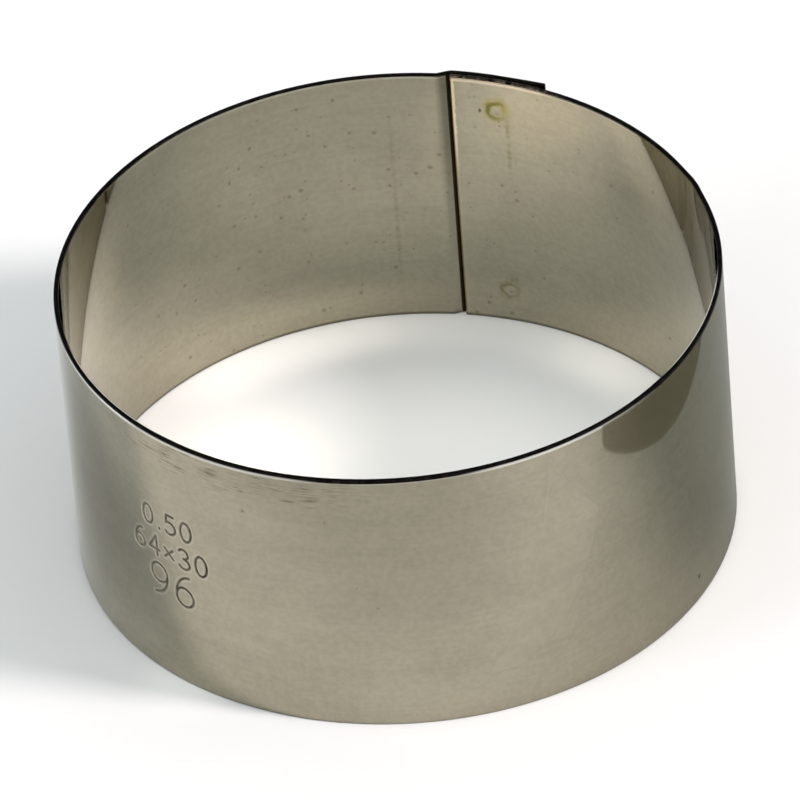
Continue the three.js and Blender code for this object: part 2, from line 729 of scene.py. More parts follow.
@dataclass(frozen=True)
class StripLine:
    """Centreline of the rolled strip in plan, clockwise from the inner lap's end to the free end."""

    outer_radius: float
    weld_angle: float
    sheet: float = 0.5 * MM
    lap: float = 10 * MM
    lap_gap: float = 0.1 * MM
    step_angle: float = math.radians(25)
    step_bend_radius: float = 0.5 * MM
    step_tuck: float = 0.2 * MM
    free_end_spring: float = 0.3 * MM

    @property
    def length(self) -> float:
        """Length of the strip along the outside of the ring."""
        return TURN * self.outer_radius + self.lap

    @property
    def start_angle(self) -> float:
        """Angle at the inner lap's end."""
        return self.weld_angle + self.lap / 2 / self.outer_radius

    @property
    def bend(self) -> tuple[float, float, float]:
        """Radius of the step's bends, at the middle of the sheet, and the run and rise of each."""
        radius = self.step_bend_radius + self.sheet / 2
        return radius, radius * math.sin(self.step_angle), radius * (1 - math.cos(self.step_angle))

    @property
    def step(self) -> Pair:
        """Measures the step: a bend, a ramp and a bend back, by the sheet and the lap gap.

        Returns:
            The runs at which it starts and ends.
        """
        _, run, rise = self.bend
        ramp = (self.sheet + self.lap_gap - 2 * rise) / math.tan(self.step_angle)
        end = TURN * self.outer_radius + self.step_tuck
        return end - 2 * run - ramp, end

    def run_at(self, degrees: float) -> float:
        """Gives the run along the strip's first turn at which it passes an angle from +X."""
        return (self.start_angle - math.radians(degrees)) % TURN * self.outer_radius

    def angle_at(self, run: Array) -> Array:
        """Gives the angle from +X at a run."""
        return self.start_angle - run / self.outer_radius

    def radius_at(self, run: Array) -> Array:
        """Gives the line's radius: the plain one, plus the step's rise, plus the free end's spring.

        In the step's first bend the rise is b - sqrt(b^2 - s^2) for a bend radius b and a length s from its
        start, then it grows evenly up the ramp; the second half is the same seen from its end. Past the weld
        line the spring grows with the square of the run.

        Args:
            run: places along the strip.

        Returns:
            The radii.
        """
        start, end = self.step
        radius, bend_run, _ = self.bend
        half = (end - start) / 2
        into = np.clip(run - start, 0, 2 * half)
        near = half - np.abs(into - half)
        bent = np.minimum(near, bend_run)
        rise = radius - np.sqrt(radius**2 - bent**2) + (near - bent) * math.tan(self.step_angle)
        stepped = np.where(into < half, rise, self.sheet + self.lap_gap - rise)
        sprung = np.clip((run - self.length) / (self.lap / 2) + 1, 0, None)
        return self.outer_radius - self.sheet / 2 + stepped + self.free_end_spring * sprung**2

    def points(self, run: Array) -> Array:
        """Gives points on the line: the radius times cosine and sine of the angle."""
        angle = self.angle_at(run)
        return self.radius_at(run)[:, None] * np.stack([np.cos(angle), np.sin(angle)], axis=1)

    def roll(self, run: Array, through: Array) -> Array:
        """Rolls points of the flat strip: each goes to the line at its run, and along the line's normal.

        Args:
            run: place along the strip.
            through: place through the sheet, outwards from its middle.

        Returns:
            Points in plan.
        """
        nudge = 0.01 * MM
        along = self.points(run + nudge) - self.points(run - nudge)
        along /= np.linalg.norm(along, axis=1, keepdims=True)
        normal = np.stack([-along[:, 1], along[:, 0]], axis=1)
        return self.points(run) + through[:, None] * normal


# Wear of the strip


@dataclass(frozen=True)
class Stretch:
    """A stretch of the upper rim for scratches and for painted highlights: the angles of its ends in degrees,
    and how strong the mark is.
    """

    ends: Pair
    strength: float

    def runs(self, line: StripLine) -> Pair:
        """Gives the run of its middle and half its length."""
        first, last = (line.run_at(angle) for angle in self.ends)
        return (first + last) / 2, abs(last - first) / 2


@dataclass(frozen=True)
class Spot:
    """A mark on one face of the strip: its angle from +X in degrees, height, strength and size."""

    angle: float
    height: float
    side: Side
    strength: float = 1.0
    radius: float = 0.3 * MM


@dataclass(frozen=True)
class PitSize:
    """Pits of one size: their spacing and width, the share of places that hold one, and how dark they are."""

    spacing: float
    width: float
    share: float
    darkness: float


class StripWiring(Wiring):
    """Wiring of a finish that follows each point's place on the flat strip."""

    def __init__(self, tree: bpy.types.NodeTree, line: StripLine, top: float) -> None:
        """Reads the place on the flat strip: its run, its place through the sheet and its height.

        Args:
            tree: the material's tree.
            line: the strip's line.
            top: height of the upper rim.
        """
        super().__init__(tree)
        self.line = line
        self.top = top
        self.place = self.attribute(STRIP_PLACE)["Vector"]
        self.run, self.through, self.height = self.parts(self.place)

    def struck(self) -> Socket:
        """Gives the struck figures' marks: dirt and painted shade below 0, a painted highlight on their lips
        above 0.
        """
        return self.attribute(STRUCK)["Fac"]

    def facing(self, side: Side) -> Socket:
        """Gives 1 on one face of the strip and 0 on the other."""
        return self.math("GREATER_THAN", self.product(self.through, float(side.value)), OFF_MIDDLE)

    def grain(self, length: float, width: float) -> Socket:
        """Gives streaks of a length and a width along the strip."""
        return RollingGrain().place(self, self.place, length=length, width=width)

    def cloud(self, size: float) -> Socket:
        """Gives soft patches of a size."""
        return Clouding().place(self, self.place, size=size)

    def rising(self, shares: Pair, to: Pair) -> Socket:
        """Gives a change from one result to another between two shares of the ring's height."""
        return self.between(self.height, *(share * self.top for share in shares), to)

    def below_top(self, first: float, last: float) -> Socket:
        """Gives 0 below a first depth under the upper rim, and 1 above a last one."""
        return self.between(self.height, self.top - first, self.top - last)

    def on_inner_lap(self, past: float, before: float) -> Socket:
        """Gives 1 on the inner lap and 0 beyond it, with a change from before its end to past it."""
        return self.between(self.run, self.line.lap + past, self.line.lap - before)


class Wear:
    """One kind of mark on the strip."""

    def wire(self, strip: StripWiring) -> Socket:
        """Wires the mark.

        Args:
            strip: the finish's wiring.

        Returns:
            How strong it is at each place.
        """
        raise NotImplementedError


@dataclass(frozen=True)
class Tone(Wear):
    """Dullness of the steel: clouds, broad and fine streaks along the strip, and a fine mottling."""

    cloud_size: float = 9 * MM
    broad_streak: Pair = (60 * MM, 2.5 * MM)
    fine_streak: Pair = (6 * MM, 0.3 * MM)
    mottle_size: float = 0.5 * MM
    shares: tuple[float, ...] = (0.28, 0.22, 0.18, 0.32)

    def wire(self, strip: StripWiring) -> Socket:
        """Wires the sum of the layers, each times its share.

        Args:
            strip: the finish's wiring.

        Returns:
            The share of the dull colour.
        """
        layers = (
            strip.cloud(self.cloud_size),
            strip.grain(*self.broad_streak),
            strip.grain(*self.fine_streak),
            strip.cloud(self.mottle_size),
        )
        return strip.total(*zip(layers, self.shares))


@dataclass(frozen=True)
class HeatRings(Wear):
    """Rings that the welds' heat left round the electrodes' prints, each with its strength."""

    prints: list[tuple[ElectrodeMark, float]]
    fade: float
    radius: float = 0.85 * MM

    def wire(self, strip: StripWiring) -> Socket:
        """Wires the most of what the prints leave.

        Args:
            strip: the finish's wiring.

        Returns:
            How strong the heat was.
        """
        rings = []
        for mark, strength in self.prints:
            values = {"run": mark.run, "height": mark.height, "strength": strength}
            rings.append(HeatMark().place(strip, strip.place, radius=self.radius, fade=self.fade, **values))
        return strip.most(*rings)


@dataclass(frozen=True)
class Drips(Wear):
    """Broken brown lines that drips left down the inside; a drip's radius is half its length."""

    drips: tuple[Spot, ...]
    edge: Pair = (0.36 * MM, 0.04 * MM)
    taper: float = 0.6
    gap: Pair = (1.5 * MM, 0.7 * MM)

    def wire(self, strip: StripWiring) -> Socket:
        """Wires a line down the middle of each drip, tapered at its ends and broken by gaps.

        Args:
            strip: the finish's wiring.

        Returns:
            How brown a place is.
        """
        lines = []
        for drip in self.drips:
            beside = strip.apart(strip.run, strip.line.run_at(drip.angle))
            line = strip.between(beside, *self.edge, (0.0, drip.strength))
            along = strip.apart(strip.height, drip.height)
            lines.append(strip.product(line, strip.between(along, drip.radius, self.taper * drip.radius)))
        gaps = strip.grain(*self.gap)
        return strip.product(strip.most(*lines), gaps, strip.facing(Side.INSIDE))


@dataclass(frozen=True)
class Pits(Wear):
    """Pits, most of them within a few laps' length of the seam, and a few single dark spots."""

    spots: tuple[Spot, ...]
    sizes: tuple[PitSize, ...] = (
        PitSize(1.3 * MM, 0.38 * MM, 0.25, 0.45),
        PitSize(0.75 * MM, 0.24 * MM, 0.13, 0.4),
    )
    inner_laps: Pair = (2.5, 0.5)
    inner_share: float = 0.4
    outer_laps: Pair = (5, 2.8)
    far_share: float = 0.15
    shake: tuple[float, float, float] = (0.34 * MM, 0.0, 0.22 * MM)
    shake_waves: float = 2600.0

    def wire(self, strip: StripWiring) -> Socket:
        """Wires specks, shaken out of round and fewer away from the seam, and the single spots.

        Args:
            strip: the finish's wiring.

        Returns:
            How dark a place is.
        """
        lap, length = strip.line.lap, strip.line.length
        inner_ends = (laps * lap for laps in self.inner_laps)
        outer_ends = (length - laps * lap for laps in self.outer_laps)
        inner_side = strip.between(strip.run, *inner_ends, (0.0, self.inner_share))
        near_seam = strip.most(inner_side, strip.between(strip.run, *outer_ends))
        noise = strip.noise(strip.place, self.shake_waves, detail=1.0)["Color"]
        shaken = strip.vector("ADD", strip.place, strip.vector("MULTIPLY", noise, self.shake))
        found = []
        for kind in self.sizes:
            share = strip.scaled(near_seam, kind.share, self.far_share * kind.share)
            pits = Specks().place(strip, shaken, spacing=kind.spacing, size=kind.width, share=share)
            found.append(strip.product(pits, kind.darkness))
        for spot in self.spots:
            run = strip.line.run_at(spot.angle)
            mark = RoundSpot().place(strip, strip.place, run=run, height=spot.height, radius=spot.radius)
            found.append(strip.product(mark, strip.facing(spot.side), spot.strength))
        return strip.most(*found)


@dataclass(frozen=True)
class Scratches(Wear):
    """Fine dark scratches along the strip, outside and just below the upper rim."""

    stretch: Stretch
    streak: Pair = (3.5 * MM, 0.16 * MM)
    streak_edge: Pair = (0.55, 0.9)
    patch: float = 3 * MM
    depths: Pair = (4.2 * MM, 2.8 * MM)
    end_fade: float = 4 * MM

    def wire(self, strip: StripWiring) -> Socket:
        """Wires streaks in patches, along one stretch.

        Args:
            strip: the finish's wiring.

        Returns:
            How dark a place is.
        """
        streaks = strip.between(strip.grain(*self.streak), *self.streak_edge)
        patches = strip.cloud(self.patch)
        high = strip.below_top(*self.depths)
        middle, half = self.stretch.runs(strip.line)
        beyond = strip.apart(strip.run, middle)
        along = strip.between(beyond, half + self.end_fade, half - self.end_fade)
        return strip.product(streaks, patches, high, along, strip.facing(Side.OUTSIDE))


@dataclass(frozen=True)
class CutEndHighlight(Wear):
    """Painted highlight beside the inner lap's cut end, mostly high up, and along its upper rim."""

    tear: Pair = (1.5 * MM, 0.5 * MM)
    tear_reach: Pair = (0.16 * MM, 0.46 * MM)
    full_reach: float = 0.34 * MM
    start: Pair = (0.12 * MM, 0.28 * MM)
    rise: Pair = (0.55, 0.85)
    rise_strengths: Pair = (0.05, 1.0)
    rim_depths: Pair = (0.62 * MM, 0.4 * MM)
    rim_end: Pair = (2 * MM, 2 * MM)
    rim_patches: Pair = (0.5, 0.5)

    def wire(self, strip: StripWiring) -> Socket:
        """Wires a ragged line beside the cut end, and a patchy one below the rim.

        Args:
            strip: the finish's wiring.

        Returns:
            How bright a place is.
        """
        ragged = strip.grain(*self.tear)
        reach = strip.scaled(ragged, *self.tear_reach)
        high = strip.rising(self.rise, self.rise_strengths)
        beyond = strip.between(strip.run, *self.start)
        end = strip.product(strip.between(strip.run, reach, self.full_reach), beyond, high)
        patchy = strip.scaled(ragged, *self.rim_patches)
        rim = strip.product(strip.below_top(*self.rim_depths), strip.on_inner_lap(*self.rim_end), patchy)
        return strip.product(strip.facing(Side.INSIDE), strip.most(end, rim))


@dataclass(frozen=True)
class BrownFlank(Wear):
    """Brown flank of the inner lap's end, where the shear rolled it over."""

    edge: Pair = (0.3 * MM, 0.1 * MM)
    strength: float = 0.85

    def wire(self, strip: StripWiring) -> Socket:
        """Wires how brown the flank is."""
        flank = strip.between(strip.run, *self.edge, (0.0, self.strength))
        return strip.product(flank, strip.facing(Side.INSIDE))


@dataclass(frozen=True)
class CreviceShade(Wear):
    """Painted shade inside, in the crevice beside the inner lap's end, and on the ramp that leads there."""

    mouth: float = 0.5 * MM
    mouth_edge: Pair = (-0.1 * MM, 0.06 * MM)
    ramp_edge: Pair = (-0.2 * MM, 0.7 * MM)
    ramp_rise: Pair = (0.15, 0.75)
    ramp_strengths: Pair = (0.0, 0.42)

    def wire(self, strip: StripWiring) -> Socket:
        """Wires full shade from the crevice's mouth on, and shade that grows up the ramp.

        Args:
            strip: the finish's wiring.

        Returns:
            How dark a place is.
        """
        start, _ = strip.line.step
        mouth = TURN * strip.line.outer_radius - self.mouth
        dark_fill = strip.between(strip.run, *(mouth + past for past in self.mouth_edge))
        ramp = strip.between(strip.run, *(start + past for past in self.ramp_edge))
        ramp_shade = strip.product(ramp, strip.rising(self.ramp_rise, self.ramp_strengths))
        return strip.product(strip.most(dark_fill, ramp_shade), strip.facing(Side.INSIDE))


@dataclass(frozen=True)
class FootShade(Wear):
    """Painted shade along the lower rim, stronger inside."""

    edge: Pair = (0.42 * MM, 0.2 * MM)
    outside: float = 0.06
    more_inside: float = 0.46

    def wire(self, strip: StripWiring) -> Socket:
        """Wires how dark the foot is."""
        line = strip.between(strip.height, *self.edge)
        return strip.product(line, strip.scaled(strip.facing(Side.INSIDE), self.more_inside, self.outside))


@dataclass(frozen=True)
class GrooveFill(Wear):
    """Dark fill in the struck figures, thicker in patches: partly dirt, partly painted shade of the grooves.
    """

    patch: float = 0.7 * MM
    thin: float = 0.78
    thicker: float = 0.25

    def wire(self, strip: StripWiring) -> Socket:
        """Wires how dark the figures are; the struck value counts their dark fill below 0."""
        return strip.product(strip.struck(), strip.scaled(strip.cloud(self.patch), -self.thicker, -self.thin))


@dataclass(frozen=True)
class RimHighlight(Wear):
    """Painted highlight in a band just below the upper rim, on both faces, broken here and there."""

    patch: Pair = (6 * MM, 0.5 * MM)
    patch_strengths: Pair = (0.45, 0.25)
    depths: Pair = (0.48 * MM, 0.26 * MM)

    def wire(self, strip: StripWiring) -> Socket:
        """Wires how bright the rim is."""
        patchy = strip.scaled(strip.grain(*self.patch), *self.patch_strengths)
        return strip.product(strip.below_top(*self.depths), patchy)


@dataclass(frozen=True)
class HighlightLines(Wear):
    """Painted highlight line below the upper rim's outer corner, along a few stretches."""

    stretches: tuple[Stretch, ...]

    def wire(self, strip: StripWiring) -> Socket:
        """Wires the most of the stretches.

        Args:
            strip: the finish's wiring.

        Returns:
            How bright a place is.
        """
        shown = []
        for stretch in self.stretches:
            middle, half = stretch.runs(strip.line)
            line = HighlightStretch().place(strip, strip.place, top=strip.top, middle=middle, half=half)
            shown.append(strip.product(line, stretch.strength))
        return strip.most(*shown)


@dataclass(frozen=True)
class CornerHighlight(Wear):
    """Painted highlight on the upper rim's inner corner, along a few stretches."""

    stretches: tuple[Stretch, ...]
    ends: Pair = (3 * MM, -1 * MM)
    corner: Pair = (-0.11 * MM, -0.15 * MM)

    def wire(self, strip: StripWiring) -> Socket:
        """Wires the corner where a stretch holds it.

        Args:
            strip: the finish's wiring.

        Returns:
            How bright a place is.
        """
        shown = []
        for stretch in self.stretches:
            middle, half = stretch.runs(strip.line)
            ends = (half + past for past in self.ends)
            shown.append(strip.between(strip.apart(strip.run, middle), *ends, (0.0, stretch.strength)))
        corner = strip.between(strip.through, *self.corner)
        upper = strip.math("GREATER_THAN", strip.height, strip.top / 2)
        return strip.product(strip.most(*shown), corner, upper)


# Finishes


@dataclass(frozen=True)
class RolledSteel:
    """Bright rolled sheet: warm grey, clouded, finely mottled and streaked along the strip.

    The welds' heat leaves straw and brown rings, a run of brown drips below them and pits near the seam. A
    painted highlight lies beside the inner lap's cut end and along its upper rim. Painted shade lies in the
    crevice beside it and along the foot, and dirt and painted shade in the struck figures. Painted highlights
    lie along the upper rim, below its outer corner and on the figures' lips, and handling scratched the face
    below the rim.
    """

    line: StripLine
    height: float
    prints: list[ElectrodeMark]
    spots: tuple[Spot, ...]
    drips: tuple[Spot, ...]
    scratched: Stretch
    highlight_lines: tuple[Stretch, ...]
    straw_reach: float = 1.45 * MM
    straw_heat: Pair = (0.1, 0.9)
    straw_strengths: Pair = (0.0, 0.75)
    scorch_heat: Pair = (0.55, 0.92)
    scorch_strengths: Pair = (0.0, 0.62)
    outline_reach: float = 0.5 * MM
    clean: Colour = (0.405, 0.372, 0.282)
    dull: Colour = (0.312, 0.287, 0.217)
    straw: Colour = (0.31, 0.275, 0.075)
    scorch: Colour = (0.13, 0.108, 0.022)
    pit: Colour = (0.115, 0.092, 0.055)
    # Painted shade in the crevice and along the foot; partly dirt, partly painted shade in the struck
    # figures.
    dark_fill: Colour = (0.032, 0.025, 0.011)
    # Painted highlight beside the inner lap's cut end and along its upper rim.
    lip: Colour = (0.92, 0.78, 0.60)
    rust: Colour = (0.13, 0.068, 0.02)
    # Painted highlight along the upper rim and on the struck figures' lips.
    marked: Colour = (0.66, 0.63, 0.56)
    roughness: float = 0.028
    dull_roughness: float = 0.03
    spoiled_roughness: float = 0.35
    relief: tuple[float, float, float] = (-0.12, -1.0, -0.5)
    relief_strength: float = 0.15
    relief_depth: float = 0.02 * MM

    def material(self) -> Material:
        """Wires the finish.

        Returns:
            The material.
        """
        made = bare_material("rolled_steel")
        strip = StripWiring(made.node_tree, self.line, self.height)
        tone = Tone().wire(strip)
        heat = HeatRings([(mark, mark.heat) for mark in self.prints], self.straw_reach).wire(strip)
        outline = HeatRings([(mark, mark.outline) for mark in self.prints], self.outline_reach).wire(strip)
        pits = Pits(self.spots).wire(strip)
        scratches = Scratches(self.scratched).wire(strip)
        # Painted highlight beside the inner lap's cut end.
        lip = CutEndHighlight().wire(strip)
        # Painted shade in the crevice and along the foot, with dirt and painted shade in the struck figures.
        dark_fill = strip.most(*(marking.wire(strip) for marking in (CreviceShade(), FootShade(), GrooveFill())))
        scorch = strip.between(heat, *self.scorch_heat, self.scorch_strengths)
        colour = strip.blend(tone, self.clean, self.dull)
        for share, over in (
            (strip.most(pits, strip.product(scratches, self.scratched.strength)), self.pit),
            (strip.between(heat, *self.straw_heat, self.straw_strengths), self.straw),
            (strip.most(scorch, Drips(self.drips).wire(strip), outline), self.scorch),
            # Painted highlight along the upper rim and on the figures' lips.
            (strip.most(RimHighlight().wire(strip), strip.struck()), self.marked),
            # Painted highlight line below the upper rim's outer corner, along a few stretches.
            (HighlightLines(self.highlight_lines).wire(strip), HIGHLIGHT),
            (lip, self.lip),
            (BrownFlank().wire(strip), self.rust),
            (dark_fill, self.dark_fill),
        ):
            colour = strip.blend(share, colour, over)
        spoiled = strip.most(lip, dark_fill, pits)
        rough = strip.total((tone, self.dull_roughness), (spoiled, self.spoiled_roughness))
        rough = strip.math("ADD", rough, self.roughness)
        relief = strip.total(*zip((tone, pits, scratches), self.relief))
        normal = strip.bumped(relief, self.relief_strength, self.relief_depth)
        strip.surface({"Base Color": colour, "Metallic": 1.0, "Roughness": rough, "Normal": normal})
        return made


@dataclass(frozen=True)
class ShearedEdge:
    """Cut edge of the sheet: near black, a painted dark reflection of the room, finely torn, browned along
    the inner lap, with painted highlights on its corners along a few stretches.
    """

    line: StripLine
    height: float
    highlight_lines: tuple[Stretch, ...]
    highlighted_corners: tuple[Stretch, ...]
    # Both tones are near black: a painted dark reflection of the room, darker than cut steel is.
    dark: Colour = (0.005, 0.0045, 0.004)
    pale: Colour = (0.02, 0.018, 0.015)
    brown: Colour = (0.30, 0.235, 0.18)
    cloud_size: float = 1.2 * MM
    tear: Pair = (0.25 * MM, 4 * MM)
    brown_end: Pair = (3 * MM, 1 * MM)
    roughness: float = 0.3
    pale_roughness: float = 0.15
    corner_roughness: float = 0.3
    relief_strength: float = 0.2
    relief_depth: float = 0.02 * MM

    def material(self) -> Material:
        """Wires the finish.

        Returns:
            The material.
        """
        made = bare_material("sheared_edge")
        strip = StripWiring(made.node_tree, self.line, self.height)
        cloud = strip.cloud(self.cloud_size)
        tears = strip.grain(*self.tear)
        tone = strip.product(cloud, tears)
        specks = Specks().place(strip, strip.place, spacing=0.45 * MM, size=0.34 * MM, share=0.75)
        browned = strip.total((specks, 0.5), (cloud, 0.5))
        corner = CornerHighlight(self.highlighted_corners).wire(strip)
        colour = strip.blend(tone, self.dark, self.pale)
        for share, over in (
            (strip.product(browned, strip.on_inner_lap(*self.brown_end)), self.brown),
            # Painted highlights on the edge: the line below the outer corner, then the inner corner.
            (HighlightLines(self.highlight_lines).wire(strip), HIGHLIGHT),
            (corner, HIGHLIGHT),
        ):
            colour = strip.blend(share, colour, over)
        rough = strip.total((tone, self.pale_roughness), (corner, self.corner_roughness))
        rough = strip.math("ADD", rough, self.roughness)
        normal = strip.bumped(tears, self.relief_strength, self.relief_depth)
        strip.surface({"Base Color": colour, "Metallic": 1.0, "Roughness": rough, "Normal": normal})
        return made


@dataclass(frozen=True)
class FusedSteel:
    """Metal that melted and set between the laps: dull and clouded."""

    light: Colour = (0.24, 0.22, 0.18)
    dark: Colour = (0.14, 0.12, 0.09)
    roughness: float = 0.45
    cloud_roughness: float = 0.2
    cloud_size: float = 0.4 * MM

    def material(self) -> Material:
        """Wires the finish.

        Returns:
            The material.
        """
        made = bare_material("fused_steel")
        wiring = Wiring(made.node_tree)
        place = wiring.add("ShaderNodeTexCoord").outputs["Object"]
        cloud = Clouding().place(wiring, place, size=self.cloud_size)
        specks = Specks().place(wiring, place, spacing=0.3 * MM, size=0.08 * MM, share=0.3)
        colour = wiring.blend(wiring.most(cloud, specks), self.light, self.dark)
        rough = wiring.scaled(cloud, self.cloud_roughness, self.roughness)
        wiring.surface({"Base Color": colour, "Metallic": 1.0, "Roughness": rough})
        return made


# The ring's band


@dataclass(frozen=True)
class FineWindow:
    """Part of one face of the flat strip that carries a fine mesh."""

    side: Side
    runs: Pair
    heights: Pair
    pitch: float


def graded(low: float, high: float, coarse: float, zones: list[Zone], growth: float = 0.3) -> Array:
    """Spreads stations over a length, close in the zones and wider away from them.

    The pitch at a place is the least of the coarse pitch and, for each zone, its own pitch plus the growth
    times the distance from it. Stations lie at even steps of the sum of one over the pitch.

    Args:
        low: first station.
        high: last station.
        coarse: widest pitch.
        zones: start, end and pitch of each close stretch.
        growth: how fast the pitch widens with the distance from a zone.

    Returns:
        The stations.
    """
    dense = np.linspace(low, high, PITCH_SAMPLES)
    pitch = np.full_like(dense, coarse)
    for start, end, fine in zones:
        away = np.maximum(np.maximum(start - dense, dense - end), 0)
        pitch = np.minimum(pitch, fine + growth * away)
    steps = (1 / pitch[1:] + 1 / pitch[:-1]) / 2 * np.diff(dense)
    total = np.concatenate([[0], np.cumsum(steps)])
    return np.interp(np.linspace(0, total[-1], math.ceil(total[-1]) + 1), total, dense)


@dataclass
class RingBand:
    """The rolled strip of the ring, with its struck figures, electrode prints and cut edges."""

    line: StripLine
    height: float
    weld_heights: Pair
    edge_through: float = 0.07 * MM
    edge_down: float = 0.2 * MM
    edge_points: int = 8
    # Depth of the band of the outside below the upper rim that takes the edge's near-black painted
    # reflection.
    dark_rim_band: float = 0.3 * MM
    upper_cut: float = 0.7
    lower_cut: float = 0.3
    end_roll: float = 0.22 * MM
    end_points: int = 6
    lesser_roll: float = 0.3
    pitch: float = 1.2 * MM
    bend_pitch: float = 0.08 * MM
    stamp: Stamp = Stamp()
    stamp_pitch: float = 0.056 * MM
    mark_pitch: float = 0.09 * MM
    waves: tuple[tuple[int, float, float], ...] = (
        (2, 0.05 * MM, 0.7),
        (3, 0.03 * MM, 2.1),
        (5, 0.012 * MM, 4.0),
        (9, 0.004 * MM, 1.2),
    )
    wave_shares: Pair = (0.6, 1.2)
    kink_angle: float = math.radians(19)
    kink_width: float = math.radians(2.4)
    kink: float = 0.12 * MM
    kink_rise: Pair = (0.6, 1.0)
    lean: Pair = (0.04 * MM, 0.19 * MM)
    lean_width: float = math.radians(5)
    scratched: Stretch = Stretch((260, 214), 0.85)
    # Stretches of the painted highlight line below the upper rim's outer corner.
    highlight_lines: tuple[Stretch, ...] = (
        Stretch((214, 198), 1.0),
        Stretch((248, 220), 0.38),
        Stretch((312, 287), 0.55),
    )
    # Stretches of the painted highlight on the upper rim's inner corner.
    highlighted_corners: tuple[Stretch, ...] = (
        Stretch((350, 325), 1.0),
        Stretch((222, 196), 0.9),
    )
    spots: tuple[Spot, ...] = (
        Spot(71.0, 26.1 * MM, Side.INSIDE, 0.9, 0.34 * MM),
        Spot(67.7, 26.0 * MM, Side.INSIDE, 0.25, 0.6 * MM),
        Spot(328.7, 2.7 * MM, Side.OUTSIDE, 0.8, 0.5 * MM),
        Spot(241.0, 24.7 * MM, Side.OUTSIDE, 0.5),
    )
    drips: tuple[Spot, ...] = (
        Spot(65.9, 22 * MM, Side.INSIDE, 0.5, 4.5 * MM),
        Spot(66.3, 4.1 * MM, Side.INSIDE, 0.5, 1.8 * MM),
        Spot(67.2, 5.1 * MM, Side.INSIDE, 0.4, 1.0 * MM),
        Spot(87.5, 14 * MM, Side.INSIDE, 0.28, 13 * MM),
    )

    def marks(self) -> list[ElectrodeMark]:
        """Places the four prints: one on each side of the lap at each weld, strongest at the upper one.

        Returns:
            The prints.
        """
        upper, lower = self.weld_heights
        inner = self.line.lap / 2
        outer = self.line.length - self.line.lap / 2
        return [
            ElectrodeMark(inner, upper, Side.INSIDE),
            ElectrodeMark(inner, lower, Side.INSIDE, heat=0.25, outline=0.62),
            ElectrodeMark(outer, upper, Side.OUTSIDE, heat=0.95),
            ElectrodeMark(outer, lower, Side.OUTSIDE, heat=0.85),
        ]

    def windows(self) -> list[FineWindow]:
        """Picks the parts of the faces that need a fine mesh.

        Returns:
            The windows of the stamp and of the electrode prints.
        """
        half, low, high = self.stamp.window()
        middle = self.line.run_at(self.stamp.angle)
        found = [FineWindow(Side.OUTSIDE, (middle - half, middle + half), (low, high), self.stamp_pitch)]
        for mark in self.marks():
            reach = mark.reach()
            runs = (mark.run - reach, mark.run + reach)
            heights = (mark.height - reach, mark.height + reach)
            found.append(FineWindow(mark.side, runs, heights, self.mark_pitch))
        return found

    def on_face(self, through: Array, side: Side) -> Array:
        """Tells which places through the sheet lie on one of its faces."""
        return through * side.value > FACE_SHARE * self.line.sheet / 2

    def stations(self) -> Array:
        """Spreads the flat strip's cross-sections: close in the step and at the ends.

        Returns:
            Their runs.
        """
        length = self.line.length
        end_pitch = self.end_roll / self.end_points
        ends = [(0, self.end_roll, end_pitch), (length - self.end_roll, length, end_pitch)]
        return graded(0, length, self.pitch, [(*self.line.step, self.bend_pitch), *ends])

    def section(self) -> tuple[Array, Array]:
        """Draws the strip's cross-section as a loop.

        The loop climbs the outside, rounds the upper edge by two quarter ellipses, comes down the inside and
        rounds the lower edge: its second half is the first one turned about the middle. Rows are closer
        towards the edges.

        Returns:
            Place through the sheet, and height.
        """
        half = self.line.sheet / 2
        low, high = self.edge_down, self.height - self.edge_down
        close = [(low, low, self.bend_pitch), (high, high, self.bend_pitch)]
        face = graded(low, high, self.pitch, close)
        turn = np.linspace(0, math.pi / 2, self.edge_points + 1)
        out = half - self.edge_through + self.edge_through * np.cos(turn)
        up = high + self.edge_down * np.sin(turn)
        through = np.concatenate([np.full(len(face) - 1, half), out, -out[::-1]])
        height = np.concatenate([face[:-1], up, up[::-1]])
        return np.concatenate([through, -through]), np.concatenate([height, self.height - height])

    def flat_mesh(self) -> Mesh:
        """Builds the flat strip: the section carried along the stations and closed at both ends.

        Returns:
            The mesh.
        """
        runs = self.stations()
        through, height = self.section()
        count, around = len(runs), len(through)
        points = np.column_stack([np.repeat(runs, around), np.tile(through, count), np.tile(height, count)])
        index = np.arange(count * around).reshape(count, around)
        following = np.roll(index, -1, axis=1)
        quads = np.stack([index[:-1], index[1:], following[1:], following[:-1]], axis=2).reshape(-1, 4)
        faces = quads.tolist() + [index[0].tolist(), index[-1][::-1].tolist()]
        mesh = bpy.data.meshes.new("ring_band_skin")
        mesh.from_pydata(points.tolist(), [], faces)
        return mesh

    def refine(self, mesh: Mesh) -> None:
        """Divides the quads of each window evenly, down to its pitch, while the strip is still flat.

        Args:
            mesh: the flat strip.
        """
        middles = np.empty(len(mesh.polygons) * 3, np.float32)
        mesh.polygons.foreach_get("center", middles)
        run, through, height = middles.reshape(-1, 3).T
        work = bmesh.new()
        work.from_mesh(mesh)
        work.faces.ensure_lookup_table()
        border = self.pitch / 2
        chosen = []
        for window in self.windows():
            (left, right), (low, high) = window.runs, window.heights
            inside = self.on_face(through, window.side)
            inside &= (run > left - border) & (run < right + border)
            inside &= (height > low - border) & (height < high + border)
            edges = {edge for index in np.flatnonzero(inside) for edge in work.faces[index].edges}
            chosen.append((window, list(edges)))
        for window, edges in chosen:
            cuts = math.ceil(self.pitch / window.pitch) - 1
            bmesh.ops.subdivide_edges(work, edges=edges, cuts=cuts, use_grid_fill=True)
        work.to_mesh(mesh)
        work.free()

